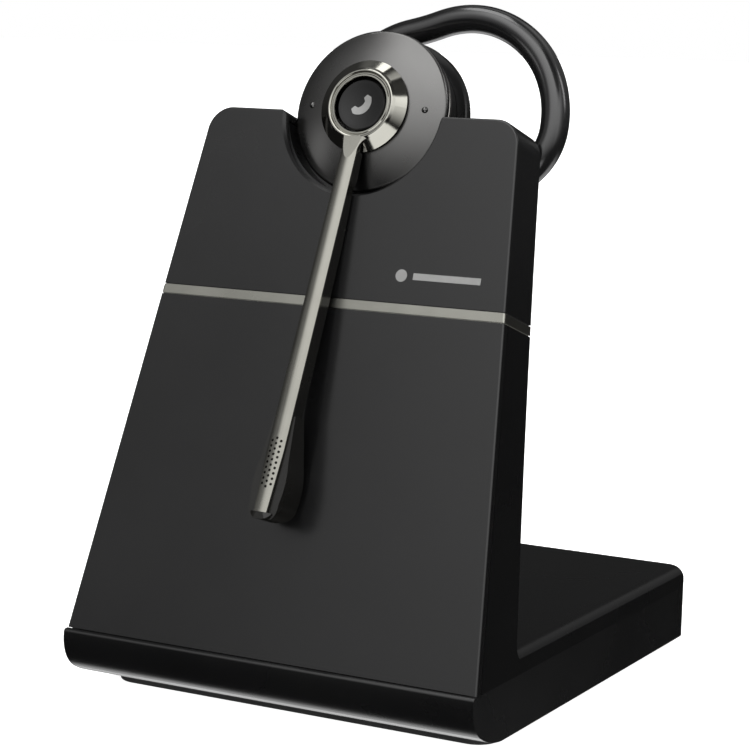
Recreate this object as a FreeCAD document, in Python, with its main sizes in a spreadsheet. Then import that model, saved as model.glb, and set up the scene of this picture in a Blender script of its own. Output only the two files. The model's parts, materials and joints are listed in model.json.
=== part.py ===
import FreeCAD, Part
import os
import math
import Sketcher
from FreeCAD import Vector, Placement, Rotation

# Office headset docked in its desk charging stand. Millimetres, +Z up, the
# front of the stand faces -Y, the origin is the middle of the footprint on
# the desk. The upright leans back; FACE is its front plane, with X across,
# Y up the slope and Z outward. DISC is the same frame at the earpiece's axis.

doc = FreeCAD.newDocument("Headset")
sheet = doc.addObject("Spreadsheet::Sheet", "Dims")


class Dim:
    """A number together with the sheet expression that it comes from."""

    def __init__(self, value, expr=None):
        self.value = float(value)
        self.expr = expr

    def text(self):
        if self.expr is not None:
            return self.expr
        return "(%.6f)" % self.value

    def joined(self, other, op, value):
        other = dimmed(other)
        if self.expr is None and other.expr is None:
            return Dim(value)
        return Dim(value, "(%s %s %s)" % (self.text(), op, other.text()))

    def __add__(self, o):
        return self.joined(o, "+", self.value + dimmed(o).value)

    def __radd__(self, o):
        return dimmed(o).__add__(self)

    def __sub__(self, o):
        return self.joined(o, "-", self.value - dimmed(o).value)

    def __rsub__(self, o):
        return dimmed(o).__sub__(self)

    def __mul__(self, o):
        return self.joined(o, "*", self.value * dimmed(o).value)

    def __rmul__(self, o):
        return dimmed(o).__mul__(self)

    def __truediv__(self, o):
        return self.joined(o, "/", self.value / dimmed(o).value)

    def __neg__(self):
        return Dim(0.0).__sub__(self)


def dimmed(x):
    return x if isinstance(x, Dim) else Dim(x)


def val(x):
    return dimmed(x).value


ROWS = [
    ("lean", 18.26, "degrees that the front leans back"),
    ("frontY", -56.2, "front panel's bottom edge, along Y"),
    ("ledgeZ", 13.85, "front panel's bottom edge, height"),
    ("faceLen", 115.1, "length of the front face up its slope"),
    ("halfWid", 48.0, "half width at the base"),
    ("sideDraft", 0.1081, "inward draft of the sides per mm of height"),
    ("topThick", 10.9, "upright's thickness at its top"),
    ("midThick", 12.95, "upright's thickness at midHeight up the slope"),
    ("midPos", 60.6, "place of midThick"),
    ("botThick", 17.0, "upright's thickness near the foot"),
    ("wall", 2.0, "casing wall"),
    ("bandLow", 73.4, "trim band's lower edge up the slope"),
    ("bandHigh", 75.5, "trim band's upper edge up the slope"),
    ("panelDeep", 1.7, "front panel's tray depth"),
    ("footTop", 18.5, "top of the foot"),
    ("footLow", 2.1, "underside of the casing"),
    ("footBack", 57.6, "rear face of the foot, along Y"),
    ("padHalf", 45.0, "foot pad's half width"),
    ("discPos", 116.6, "earpiece axis up the slope"),
    ("notchPos", 116.0, "notch centre up the slope"),
    ("notchRad", 18.35, "notch radius"),
    ("saddleRad", 16.3, "inner radius of the dock saddle"),
    ("discRad", 17.63, "radius of the rocker disc"),
    ("discRim", -4.2, "front of the disc's rim"),
    ("neckRad", 16.0, "earpiece neck radius"),
    ("grooveRad", 15.0, "groove that the ear hook's ring turns in"),
    ("cushRad", 16.0, "ear cushion radius"),
    ("cushIn", 7.7, "ear cushion's inner radius"),
    ("hubRad", 10.0, "hub ring's outer radius"),
    ("buttonRad", 5.5, "call button radius"),
    ("shaftRad", 2.5, "boom shaft radius"),
    ("runFit", 0.05, "radial running clearance"),
    ("armLen", 87.6, "boom cover's end from the disc's centre"),
    ("armRoot", 7.0, "boom cover's start from the disc's centre"),
    ("armNarrow", 3.56, "boom width at its root"),
    ("armWide", 3.84, "boom width before its tip"),
    ("armCrown", 4.5, "radius of the boom cover's crowned face"),
    ("hookRad", 3.0, "ear hook tube's radius"),
    ("hookDeep", -15.9, "ear hook's plane behind the front face"),
    ("wireRad", 1.0, "ear hook's core wire radius"),
    ("pinRad", 0.8, "charging pin radius"),
    ("pinHalf", 3.2, "charging pins' offset from the middle"),
    ("holeDia", 0.55, "perforation diameter"),
]
for i, (alias, number, note) in enumerate(ROWS):
    sheet.set("A%d" % (i + 1), alias)
    sheet.set("B%d" % (i + 1), repr(number))
    sheet.set("C%d" % (i + 1), note)
    sheet.setAlias("B%d" % (i + 1), alias)
doc.recompute()
D = dict((alias, Dim(number, "Dims." + alias)) for alias, number, note in ROWS)

THETA = math.radians(val(D["lean"]))
ST, CT = math.sin(THETA), math.cos(THETA)
ROW = Placement()
FACE = Placement(Vector(0, val(D["frontY"]), val(D["ledgeZ"])), Rotation(Vector(1, 0, 0), 90.0 - val(D["lean"])))
DISC = FACE.multiply(Placement(Vector(0, val(D["discPos"]), 0), Rotation()))
INTO_FACE = FACE.inverse()
counter = [0]


def fresh(stem):
    counter[0] += 1
    return "%s_%03d" % (stem, counter[0])


def at(place, x=0, y=0, z=0, rot=None):
    return place.multiply(Placement(Vector(val(x), val(y), val(z)), rot or Rotation()))


def bind(obj, prop, number):
    number = dimmed(number)
    if number.expr is not None:
        obj.setExpression(prop, number.expr)
    else:
        setattr(obj, prop, number.value)


# ---------------------------------------------------------------- sketches
def new_body(stem, place):
    body = doc.addObject("PartDesign::Body", fresh(stem))
    body.Placement = place
    return body


def draw(body, plane, loops, offset=0.0):
    """A sketch of closed loops. A loop is a list of (x, y) corners; a corner
    with a third entry starts an arc through that point; ("circle", x, y, r)
    is a full circle."""
    sk = body.newObject("Sketcher::SketchObject", fresh("Sketch"))
    origin = [f for f in body.Origin.OriginFeatures if f.Role == plane][0]
    sk.AttachmentSupport = [(origin, "")]
    sk.MapMode = "FlatFace"
    if val(offset) != 0.0:
        sk.AttachmentOffset = Placement(Vector(0, 0, val(offset)), Rotation())
        if dimmed(offset).expr is not None:
            sk.setExpression("AttachmentOffset.Base.z", dimmed(offset).expr)
    for loop in loops:
        if loop[0] == "circle":
            cx, cy, r = loop[1:4]
            g = sk.addGeometry(Part.Circle(Vector(val(cx), val(cy), 0), Vector(0, 0, 1), val(r)), False)
            place_point(sk, g, 3, cx, cy)
            c = sk.addConstraint(Sketcher.Constraint("Radius", g, val(r)))
            if dimmed(r).expr is not None:
                sk.setExpression("Constraints[%d]" % c, dimmed(r).expr)
            continue
        ends = []
        n = len(loop)
        for i in range(n):
            a, b = loop[i], loop[(i + 1) % n]
            p = Vector(val(a[0]), val(a[1]), 0)
            q = Vector(val(b[0]), val(b[1]), 0)
            if len(a) == 3:
                m = Vector(val(a[2][0]), val(a[2][1]), 0)
                g = sk.addGeometry(Part.ArcOfCircle(p, m, q), False)
                start = 1 if sk.getPoint(g, 1).distanceToPoint(p) < sk.getPoint(g, 2).distanceToPoint(p) else 2
                ends.append((g, start, 3 - start, True))
            else:
                g = sk.addGeometry(Part.LineSegment(p, q), False)
                ends.append((g, 1, 2, False))
        for i in range(n):
            g, s0, e0, arc = ends[i]
            g2, s2, e2, arc2 = ends[(i + 1) % n]
            sk.addConstraint(Sketcher.Constraint("Coincident", g, e0, g2, s2))
        for i in range(n):
            g, s0, e0, arc = ends[i]
            place_point(sk, g, s0, loop[i][0], loop[i][1])
            if arc:
                sk.addConstraint(Sketcher.Constraint("Radius", g, sk.Geometry[g].Radius))
    return sk


def place_point(sk, g, pos, x, y):
    for kind, number in (("DistanceX", x), ("DistanceY", y)):
        c = sk.addConstraint(Sketcher.Constraint(kind, g, pos, val(number)))
        if dimmed(number).expr is not None:
            sk.setExpression("Constraints[%d]" % c, dimmed(number).expr)


def pad(stem, place, plane, loops, length, offset=0.0, middle=False):
    body = new_body(stem, place)
    sk = draw(body, plane, loops, offset)
    feature = body.newObject("PartDesign::Pad", fresh("Pad"))
    feature.Profile = sk
    bind(feature, "Length", length)
    if middle:
        feature.SideType = "Symmetric"
    return body


def turn(stem, place, loop, angle=360.0):
    """A solid of revolution about the frame's Z; the loop is (radius, z)."""
    body = new_body(stem, place)
    sk = draw(body, "XZ_Plane", [loop])
    feature = body.newObject("PartDesign::Revolution", fresh("Revolution"))
    feature.Profile = sk
    feature.ReferenceAxis = (sk, ["V_Axis"])
    feature.Angle = angle
    return body


# -------------------------------------------------------------- primitives
def cyl(place, radius, height, x=0, y=0, z=0, axis="z"):
    """A cylinder; it starts at x, y, z and runs along the named axis."""
    obj = doc.addObject("Part::Cylinder", fresh("Cylinder"))
    bind(obj, "Radius", radius)
    bind(obj, "Height", height)
    rot = {"z": Rotation(), "x": Rotation(Vector(0, 1, 0), 90), "y": Rotation(Vector(1, 0, 0), -90), "-y": Rotation(Vector(1, 0, 0), 90), "-z": Rotation(Vector(1, 0, 0), 180)}[axis]
    obj.Placement = at(place, x, y, z, rot)
    return obj


def box(place, x0, x1, y0, y1, z0, z1):
    obj = doc.addObject("Part::Box", fresh("Box"))
    bind(obj, "Length", dimmed(x1) - x0)
    bind(obj, "Width", dimmed(y1) - y0)
    bind(obj, "Height", dimmed(z1) - z0)
    obj.Placement = at(place, x0, y0, z0)
    return obj


def ball(place, radius, x=0, y=0, z=0):
    obj = doc.addObject("Part::Sphere", fresh("Sphere"))
    bind(obj, "Radius", radius)
    obj.Placement = at(place, x, y, z)
    return obj


def cut(base, *tools):
    for tool in tools:
        obj = doc.addObject("Part::Cut", fresh("Cut"))
        obj.Base, obj.Tool = base, tool
        base = obj
    return base


def fuse(*items):
    obj = doc.addObject("Part::MultiFuse", fresh("Fuse"))
    obj.Shapes = list(items)
    obj.Refine = True
    return obj


def common(a, b):
    obj = doc.addObject("Part::Common", fresh("Common"))
    obj.Base, obj.Tool = a, b
    return obj


def group(*items):
    obj = doc.addObject("Part::Compound", fresh("Group"))
    obj.Links = list(items)
    return obj


def rounded(base, radius, wanted, chamfer=False):
    """Rounds the edges that wanted(a, m, b) picks, given an edge's start,
    middle and end in the row frame."""
    doc.recompute()
    picked = []
    for i, e in enumerate(base.Shape.Edges):
        first, last = e.FirstParameter, e.LastParameter
        a, m, b = e.valueAt(first), e.valueAt((first + last) / 2.0), e.valueAt(last)
        if wanted(a, m, b):
            picked.append(i + 1)
    if not picked:
        print("no edge found for", base.Name)
        return base
    for size in radius if isinstance(radius, (list, tuple)) else [radius]:
        obj = doc.addObject("Part::Chamfer" if chamfer else "Part::Fillet", fresh("Round"))
        obj.Base = base
        obj.Edges = [(i, val(size), val(size)) for i in picked]
        doc.recompute()
        if "Invalid" in obj.State or obj.Shape.isNull() or not obj.Shape.isValid() or not obj.Shape.Solids:
            print("edge size", val(size), "not possible on", base.Name, len(picked), "edges")
            doc.removeObject(obj.Name)
            continue
        return obj
    return base


def local(p):
    return INTO_FACE.multVec(p)


nodes = []


def node(label, obj):
    obj.Label = label
    nodes.append((label, obj))
    return obj


# ------------------------------------------------------- upright's envelope
def back_line(pos):
    """Depth of the upright's back below the face at a place up the slope."""
    pts = [(val(D["faceLen"]), -val(D["topThick"])), (val(D["midPos"]), -val(D["midThick"])), (5.0, -val(D["botThick"]))]
    total = 0.0
    for i, (xi, yi) in enumerate(pts):
        term = yi
        for j, (xj, yj) in enumerate(pts):
            if i != j:
                term *= (pos - xj) / (xi - xj)
        total += term
    return total


def outline(inset):
    """The sides of the whole stand seen from the front: straight up to the
    ledge, then drawn in."""
    reach = 128.0
    top = D["halfWid"] - inset - (reach - D["ledgeZ"]) * D["sideDraft"]
    return pad("plan", ROW, "XZ_Plane", [[
        (-(D["halfWid"] - inset), 1.0), (D["halfWid"] - inset, 1.0), (D["halfWid"] - inset, D["ledgeZ"]),
        (top, reach), (-top, reach), (-(D["halfWid"] - inset), D["ledgeZ"])]], 160.0, middle=True)


def upright(inset, front, low):
    """The leaning upright as a prism, inset from its outer faces."""
    side = pad("side", FACE, "YZ_Plane", [[
        (low, front),
        (D["faceLen"] - inset, front),
        (D["faceLen"] - inset, -D["topThick"] + inset, (D["midPos"], -D["midThick"] + inset)),
        (5.0, -D["botThick"] + inset),
        (low, -D["botThick"] + inset)]], 120.0, middle=True)
    return common(side, outline(inset))


def top_corner(a, m, b):
    p, q = local(a), local(b)
    return abs(abs(p.z - q.z) - abs((b - a).Length)) < 0.6 and abs(p.x) > 30 and abs(q.x) > 30 and p.y > 108 and abs(p.y - q.y) < 0.5


def front_rim(a, m, b):
    p, q, r = local(a), local(m), local(b)
    return abs(p.z) < 0.05 and abs(q.z) < 0.05 and abs(r.z) < 0.05 and (abs(q.x) > 30.0 or q.y > val(D["faceLen"]) - 6.0) and q.y > 1.0


outer = upright(0.0, 0.0, 0.0)
outer = rounded(outer, 5.5, top_corner)
outer = rounded(outer, 0.45, front_rim)
inner = rounded(upright(D["wall"], -D["wall"], 0.0), 3.5, top_corner)
inner_open = upright(D["wall"], 1.0, 0.0)

WIDE = 60.0

# hairline grooves along both edges of the trim band
skin_in = upright(0.3, -0.3, 0.0)
groove_high = cut(box(FACE, -WIDE, WIDE, D["bandHigh"] - 0.12, D["bandHigh"] + 0.12, -30.0, 10.0), skin_in)
groove_low = cut(box(FACE, -WIDE, WIDE, D["bandLow"] - 0.12, D["bandLow"] + 0.12, -30.0, 10.0), skin_in)

# ------------------------------------------------------------ upper casing
notch_r = D["notchRad"]
notch_top = D["faceLen"] - D["notchPos"]
lip = 1.3
edge_x = math.sqrt(val(notch_r) ** 2 - 0.9 ** 2)
notch_cut = pad("notch", at(FACE, 0, D["notchPos"], 0), "XY_Plane", [[
    (-(val(notch_r) + 1.1), 2.0), (-(val(notch_r) + 1.1), -0.88, (-(val(notch_r) + 0.33), -1.25)),
    (-(val(notch_r) - 0.13), -2.2, (0.0, -val(notch_r))), ((val(notch_r) - 0.13), -2.2, ((val(notch_r) + 0.33), -1.25)),
    ((val(notch_r) + 1.1), -0.88), ((val(notch_r) + 1.1), 2.0)]], 20.0, offset=-15.0)
hood = common(outer, box(FACE, -WIDE, WIDE, D["bandHigh"], 130.0, -30.0, 10.0))
hood = cut(hood, inner, notch_cut)


bevel = turn("bevel", at(FACE, 0, D["notchPos"], 0), [(10.0, -1.0), (notch_r - 0.1, -1.0), (notch_r - 0.1, -0.65), (notch_r + 1.0, 0.45), (10.0, 0.45)])
hood = cut(hood, bevel, groove_high)
hood_bosses = fuse(cyl(FACE, 3.0, 6.2, -27.0, 88.0, -8.2), cyl(FACE, 3.0, 6.2, 27.0, 88.0, -8.2))
hood = cut(fuse(hood, hood_bosses), cyl(FACE, 1.25, 5.5, -27.0, 88.0, -8.3), cyl(FACE, 1.25, 5.5, 27.0, 88.0, -8.3))
node("upper_hood", hood)

# trim band: a ring all round the upright
band = common(outer, box(FACE, -WIDE, WIDE, D["bandLow"], D["bandHigh"], -30.0, 10.0))
node("trim_band", cut(band, inner, groove_high, groove_low))

# front panel: a shallow tray with a locating lip
panel = common(outer, box(FACE, -WIDE, WIDE, 0.12, D["bandLow"], -D["panelDeep"], 10.0))
lip_w = D["halfWid"] - D["wall"] - 0.2
lip_frame = pad("lip", FACE, "XY_Plane", [
    [(-(lip_w - 0.2), 2.6), (lip_w - 0.2, 2.6), (lip_w - 7.2, 70.6), (-(lip_w - 7.2), 70.6)],
    [(-(lip_w - 1.6), 4.0), (lip_w - 1.6, 4.0), (lip_w - 8.5, 69.2), (-(lip_w - 8.5), 69.2)]], 1.6, offset=-3.3)
node("front_panel", cut(fuse(panel, lip_frame), groove_low))

# ------------------------------------------------------------- base casing
fb, fy = D["footBack"], D["frontY"]
foot = pad("foot", ROW, "YZ_Plane", [[
    (fy + 10.0, D["ledgeZ"]), (fy + 0.0, D["ledgeZ"]), (fy - 0.55, D["ledgeZ"], (fy - 1.08, D["ledgeZ"] - 0.22)),
    (fy - 1.3, D["ledgeZ"] - 0.75, (fy - 0.95, 9.1)), (fy + 2.2, 5.1, (fy + 6.6, 3.15)),
    (fy + 12.3, D["footLow"]), (fb, D["footLow"]), (fb, D["footTop"]), (fy + 10.0, D["footTop"])]],
    D["halfWid"] * 2, middle=True)
HW, FB, FT, FL = val(D["halfWid"]), val(D["footBack"]), val(D["footTop"]), val(D["footLow"])


def rear_corner(a, m, b):
    return abs(m.y - FB) < 0.01 and abs(abs(m.x) - HW) < 0.01 and abs(b.z - a.z) > 5


def foot_rim(a, m, b):
    return abs(a.z - FT) < 0.01 and abs(b.z - FT) < 0.01 and abs(m.z - FT) < 0.01 and (abs(m.x) > HW - 4.6 or m.y > FB - 4.6)


foot = rounded(foot, 4.5, rear_corner)
foot = rounded(foot, 3.0, foot_rim)
foot = common(foot, outline(0.0))
low_upright = common(outer, box(FACE, -WIDE, WIDE, -5.0, D["bandLow"], -30.0, 10.0))
casing = fuse(low_upright, foot)


def inner_corner(a, m, b):
    return abs(m.z - FT) < 0.02 and abs(a.z - FT) < 0.02 and abs(b.x - a.x) > 60 and -40 < m.y < -20


casing = rounded(casing, [1.6, 1.0, 0.6], inner_corner)
foot_room = pad("foot_room", ROW, "YZ_Plane", [[
    (fy + 1.2, 11.9), (fy + 1.7, 8.4), (fy + 5.5, 5.2), (fy + 13.6, 4.1), (fy + 13.6, 1.0), (fb - D["wall"], 1.0),
    (fb - D["wall"], D["footTop"] - D["wall"]), (fy + 13.5, D["footTop"] - D["wall"]), (fy + 13.5, 11.9)]],
    (D["halfWid"] - D["wall"]) * 2, middle=True)
front_slot = box(FACE, -WIDE, WIDE, 0.02, 90.0, -D["panelDeep"] - 0.18, 12.0)
casing = cut(casing, inner_open, foot_room, front_slot)
# screw posts in the foot, and the openings for the sockets in its rear face
posts = []
SCREWS = [(-38.0, -36.0), (38.0, -36.0), (-38.0, 49.0), (38.0, 49.0)]
for x, y in SCREWS:
    posts.append(cyl(ROW, 3.2, 12.9, x, y, 4.15))
casing = fuse(casing, *posts)
for x, y in SCREWS:
    casing = cut(casing, cyl(ROW, 1.25, 11.0, x, y, 4.0))
PORT_Z = 6.6
casing = cut(casing, box(ROW, -27.5, -17.5, 54.0, 60.0, PORT_Z - 0.4, 15.2),
             box(ROW, -14.5, -4.5, 54.0, 60.0, PORT_Z - 0.4, 15.2),
             box(ROW, 3.2, 11.8, 54.0, 60.0, 10.2, 14.6),
             cyl(ROW, 3.4, 6.0, 22.0, 54.0, 10.9, axis="y"))
node("base_housing", cut(casing, groove_low))

# bottom cover, pad, ballast
cover = box(ROW, -45.8, 45.8, fy + 13.8, fb - D["wall"] - 0.1, D["footLow"], 4.1)
cover = rounded(cover, 0.6, lambda a, m, b: abs(b.z - a.z) > 1.5)
for x, y in SCREWS:
    cover = cut(cover, cyl(ROW, 1.35, 4.0, x, y, 1.0), cyl(ROW, 2.6, 1.2, x, y, 2.0))
node("base_bottom_cover", cover)
foot_pad = box(ROW, -D["padHalf"], D["padHalf"], fy + 12.3, fy + 107.0, 0.0, D["footLow"] - 0.1)
foot_pad = rounded(foot_pad, 5.0, lambda a, m, b: abs(b.z - a.z) > 1.5)
node("foot_pad", rounded(foot_pad, 0.5, lambda a, m, b: a.z < 0.01 and b.z < 0.01))
screws = []
for x, y in SCREWS:
    screws.append(fuse(cyl(ROW, 2.45, 0.9, x, y, 2.2), cyl(ROW, 1.2, 9.0, x, y, 3.0)))
node("bottom_cover_screws", group(*screws))
ballast = box(ROW, -33.0, 33.0, -34.0, 26.0, 4.25, 9.0)
node("ballast_plate", rounded(ballast, 4.0, lambda a, m, b: abs(b.z - a.z) > 3))

# ------------------------------------------------------- dock in the notch
cradle = turn("cradle", DISC, [
    (18.45, -2.05), (20.1, -2.05), (20.1, -8.6), (18.25, -8.6), (18.25, -10.8), (D["saddleRad"], -10.8),
    (D["saddleRad"], -7.0), (18.45, -7.0)])
cradle = cut(cradle, box(FACE, -25.0, 25.0, 115.05, 140.0, -15.0, 0.0),
             box(FACE, -25.0, -17.9, 112.8, 120.0, -15.0, 0.0), box(FACE, 17.9, 25.0, 112.8, 120.0, -15.0, 0.0))
PH, PZ = D["pinHalf"], -7.95
for side in (-1, 1):
    cradle = cut(cradle, cyl(FACE, D["pinRad"] + 0.05, 8.0, PH * side, 94.5, PZ, axis="y"))
node("dock_cradle", cradle)
magnets = []
for side in (-1, 1):
    place = DISC.multiply(Placement(Vector(0, 0, 0), Rotation(Vector(0, 0, 1), 35.0 * side)))
    magnets.append(box(place, -3.5, 3.5, -21.85, -20.3, -7.6, -3.6))
node("dock_magnets", group(*magnets))
node("charge_board", cut(box(FACE, -9.0, 9.0, 93.0, 94.0, -9.2, -3.4), cyl(FACE, 0.4, 3.0, -6.5, 92.0, -6.0, axis="y")))
barrels = []
for side in (-1, 1):
    barrels.append(cut(cyl(FACE, 1.3, 2.3, PH * side, 94.0, PZ, axis="y"), cyl(FACE, D["pinRad"] + 0.05, 2.0, PH * side, 94.3, PZ, axis="y")))
node("charge_pin_barrels", group(*barrels))
pad_low = val(D["discPos"]) - math.sqrt(val(D["neckRad"]) ** 2 - val(PH) ** 2)
dome = val(D["discPos"]) - math.sqrt((val(D["neckRad"]) + val(D["pinRad"]) + 0.05) ** 2 - val(PH) ** 2)
for side, name in ((-1, "charge_pin_left"), (1, "charge_pin_right")):
    low_end = 94.95
    pin = fuse(cyl(FACE, D["pinRad"], dome - low_end, PH * side, low_end, PZ, axis="y"),
               ball(FACE, D["pinRad"], PH * side, dome, PZ))
    node(name, pin)

# ---------------------------------------------------- electronics, upright
MB = -7.2
board = pad("main", FACE, "XY_Plane", [[(-37.0, 12.0), (37.0, 12.0), (31.0, 84.0), (-31.0, 84.0)]], 1.2, offset=MB)
holes = [cyl(FACE, 1.3, 3.0, x, y, MB - 1.0) for x, y in ((-33.5, 17.0), (33.5, 17.0))]
node("main_board", cut(board, *holes))
chips = []
for x0, x1, y0, y1, t in ((-24.0, -14.0, 30.0, 40.0, 1.0), (-8.0, 0.0, 28.0, 36.0, 0.9), (8.0, 14.0, 26.0, 34.0, 1.6),
                          (18.0, 26.0, 30.0, 35.0, 2.0), (-27.0, -21.0, 46.0, 52.0, 1.2), (-4.0, 6.0, 16.0, 20.0, 1.5)):
    chips.append(box(FACE, x0, x1, y0, y1, MB + 1.2, MB + 1.2 + t))
node("main_board_chips", group(*chips))
can = cut(box(FACE, -12.0, 16.0, 42.0, 64.0, MB + 1.2, MB + 3.8), box(FACE, -11.7, 15.7, 42.3, 63.7, MB + 1.0, MB + 3.5))
node("radio_shield", can)
aerials = []
for side in (-1, 1):
    aerials.append(fuse(box(FACE, 20.0 * side - 1.0, 20.0 * side + 1.0, 66.0, 82.0, MB + 1.2, MB + 1.5),
                        box(FACE, 20.0 * side - 6.0, 20.0 * side + 6.0, 81.0, 83.0, MB + 1.2, MB + 1.5)))
node("antenna_strips", group(*aerials))
node("board_screws", group(*[fuse(cyl(FACE, 2.2, 1.1, x, y, MB + 1.2), cyl(FACE, 1.25, 4.0, x, y, MB - 2.8)) for x, y in ((-33.5, 17.0), (33.5, 17.0))]))
node("hood_screws", group(*[fuse(cyl(FACE, 2.2, 0.9, x, 88.0, -9.1), cyl(FACE, 1.2, 4.6, x, 88.0, -8.2)) for x in (-27.0, 27.0)]))

# flat cable: down from the main board, round one bend, along the foot
ribbon = pad("ribbon", ROW, "YZ_Plane", [[
    (fy + 13.3, 22.0), (fy + 13.3, 15.0, (fy + 14.35, 12.45)), (fy + 16.9, 11.4), (26.6, 11.4), (26.6, 11.0), (fy + 16.9, 11.0, (fy + 14.07, 12.17)),
    (fy + 12.9, 15.0), (fy + 12.9, 22.0)]], 12.0, middle=True)
node("ribbon_cable", ribbon)

# ------------------------------------------------------- connector board
node("base_board", box(ROW, -33.0, 33.0, 27.0, 53.0, 5.0, 6.2))
jacks = []
for x0, x1 in ((-27.3, -17.7), (-14.3, -4.7)):
    shell = box(ROW, x0, x1, 40.0, 57.2, 6.25, 15.0)
    jacks.append(cut(shell, box(ROW, x0 + 1.1, x1 - 1.1, 46.0, 58.0, 7.6, 13.8)))
node("phone_jacks", group(*jacks))
usb = cut(box(ROW, 3.4, 11.6, 45.0, 56.6, 10.4, 14.4), box(ROW, 4.0, 11.0, 48.0, 58.0, 11.0, 13.8))
usb = fuse(usb, box(ROW, 5.2, 9.8, 47.9, 54.5, 12.1, 12.7), box(ROW, 3.9, 5.0, 45.5, 49.0, 6.2, 10.5), box(ROW, 10.0, 11.1, 45.5, 49.0, 6.2, 10.5))
node("usb_socket", usb)
jack = fuse(box(ROW, 17.5, 26.5, 42.0, 53.5, 6.25, 15.4), cyl(ROW, 3.3, 4.0, 22.0, 53.0, 10.9, axis="y"))
jack = cut(jack, cyl(ROW, 2.75, 9.0, 22.0, 49.0, 10.9, axis="y"))
jack = fuse(jack, cyl(ROW, 0.9, 8.0, 22.0, 48.0, 10.9, axis="y"))
node("power_jack", jack)

# generic mark on the hood: a plain bar and a dot, slightly proud
mark = box(FACE, 18.6, 33.8, 80.6, 82.0, -0.2, 0.06)
dot = cyl(FACE, 1.3, 0.26, 15.9, 81.3, -0.2)
hood_marks = group(mark, dot)
node("panel_mark", cut(hood_marks, box(FACE, 10.0, 40.0, 75.0, 90.0, -3.0, 0.0)))

# ----------------------------------------------------------- the earpiece
housing = turn("housing", DISC, [
    (3.7, -6.7), (D["neckRad"], -6.7), (D["neckRad"], -11.95), (D["grooveRad"], -11.95), (D["grooveRad"], -14.75),
    (13.6, -14.75), (13.6, -8.2), (5.0, -8.2), (5.0, -8.9), (3.7, -8.9)])
PINH = -4.9
for side in (-1, 1):
    for lo, hi in ((9.1, 10.3), (13.2, 14.4)):
        y0, y1 = (lo, hi) if side > 0 else (-hi, -lo)
        housing = fuse(housing, box(DISC, -1.3, 1.3, y0, y1, -6.75, -4.25))
pins = []
for side in (-1, 1):
    y0 = 9.1 if side > 0 else -14.4
    pins.append(cyl(DISC, 0.5, 5.3, 0, y0, PINH, axis="y"))
housing = cut(housing, *[cyl(DISC, 0.5, 5.3, 0, 9.1 if side > 0 else -14.4, PINH, axis="y") for side in (-1, 1)])
pads = []
for side in (-1, 1):
    x = val(PH) * side
    y1 = pad_low - val(D["discPos"]) + 1.2
    pads.append(common(cyl(DISC, 1.15, 2.0, x, y1, PZ, axis="-y"), cyl(DISC, D["neckRad"], 6.0, 0, 0, -11.0)))
    housing = cut(housing, cyl(DISC, 1.15, 3.0, x, y1, PZ, axis="-y"))
node("puck_housing", housing)
node("contact_pads", group(*pads))
node("rocker_pivot_pins", group(*pins))
node("puck_trim_ring", turn("trim", DISC, [(14.9, -5.75), (17.1, -5.6), (17.3, -5.8), (17.3, -6.5), (17.1, -6.68), (14.9, -6.68)]))
node("boom_bearing_sleeve", turn("sleeve", DISC, [
    (D["shaftRad"] + D["runFit"], -6.3), (4.8, -6.3), (4.8, -6.68), (3.68, -6.68), (3.68, -8.9), (D["shaftRad"] + D["runFit"], -8.9)]))
node("headset_board", cut(cyl(DISC, 12.2, 0.8, 0, 0, -11.1), cyl(DISC, 0.6, 2.0, 8.0, 8.0, -11.6)))
node("battery_cell", rounded(cyl(DISC, 11.7, 3.2, 0, 0, -14.5), 0.5, lambda a, m, b: (a - b).Length < 1e-3))
keeper = turn("keeper", DISC, [(12.45, -8.35), (13.5, -8.35), (13.5, -12.6), (12.45, -12.6)])
node("dock_keeper_plate", common(keeper, box(DISC, -8.0, 8.0, -14.0, -9.0, -13.0, -8.0)))
node("rear_cover", turn("rear", DISC, [
    (7.4, -14.85), (15.7, -14.85), (15.9, -15.05), (15.9, -15.75), (7.4, -15.75), (7.4, -19.2), (6.6, -19.2), (6.6, -14.85)]))
node("speaker_driver", turn("driver", DISC, [(0, -14.95), (4.5, -14.95), (4.5, -15.6), (6.5, -15.6), (6.5, -18.4), (5.6, -18.4), (3.5, -17.6), (0, -17.9)]))
grille = cyl(DISC, 6.55, 0.5, 0, 0, -19.2)
dots = [cyl(DISC, 0.45, 2.0, 0, 0, -20.0)]
for ring, count in ((2.0, 6), (4.0, 12)):
    for k in range(count):
        angle = 2 * math.pi * k / count
        dots.append(cyl(DISC, 0.45, 2.0, ring * math.cos(angle), ring * math.sin(angle), -20.0))
node("speaker_grille", cut(grille, group(*dots)))
node("ear_cushion", turn("cushion", DISC, [
    (D["cushIn"], -16.6, (7.95, -16.05)), (8.5, -15.85), (D["cushRad"] - 0.9, -15.85, (D["cushRad"] - 0.2, -16.15)), (D["cushRad"], -17.0),
    (D["cushRad"], -18.6, (D["cushRad"] - 0.9, -20.4)), (13.4, -21.1), (10.2, -21.1, (8.4, -20.4)), (D["cushIn"], -18.8)]))

# --------------------------------------------------------- volume rocker
disc = turn("disc", DISC, [
    (8.8, -1.3, (13.0, -2.2)), (16.9, -3.42, (17.42, -3.72)), (D["discRad"], D["discRim"]), (D["discRad"], -4.9), (17.35, -5.1),
    (16.4, -4.75), (8.8, -2.6)])
lugs = []
for side in (-1, 1):
    y0, y1 = (10.65, 12.85) if side > 0 else (-12.85, -10.65)
    lugs.append(box(DISC, -1.5, 1.5, y0, y1, -5.75, -2.9))
    lugs.append(ball(DISC, 0.72, 13.3 * side, 0.3, -2.5))
disc = fuse(disc, *lugs)
for side in (-1, 1):
    disc = cut(disc, cyl(DISC, 0.5 + val(D["runFit"]), 7.0, 0, 8.5 if side > 0 else -15.5, PINH, axis="y"))
node("rocker_disc", disc)

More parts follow.
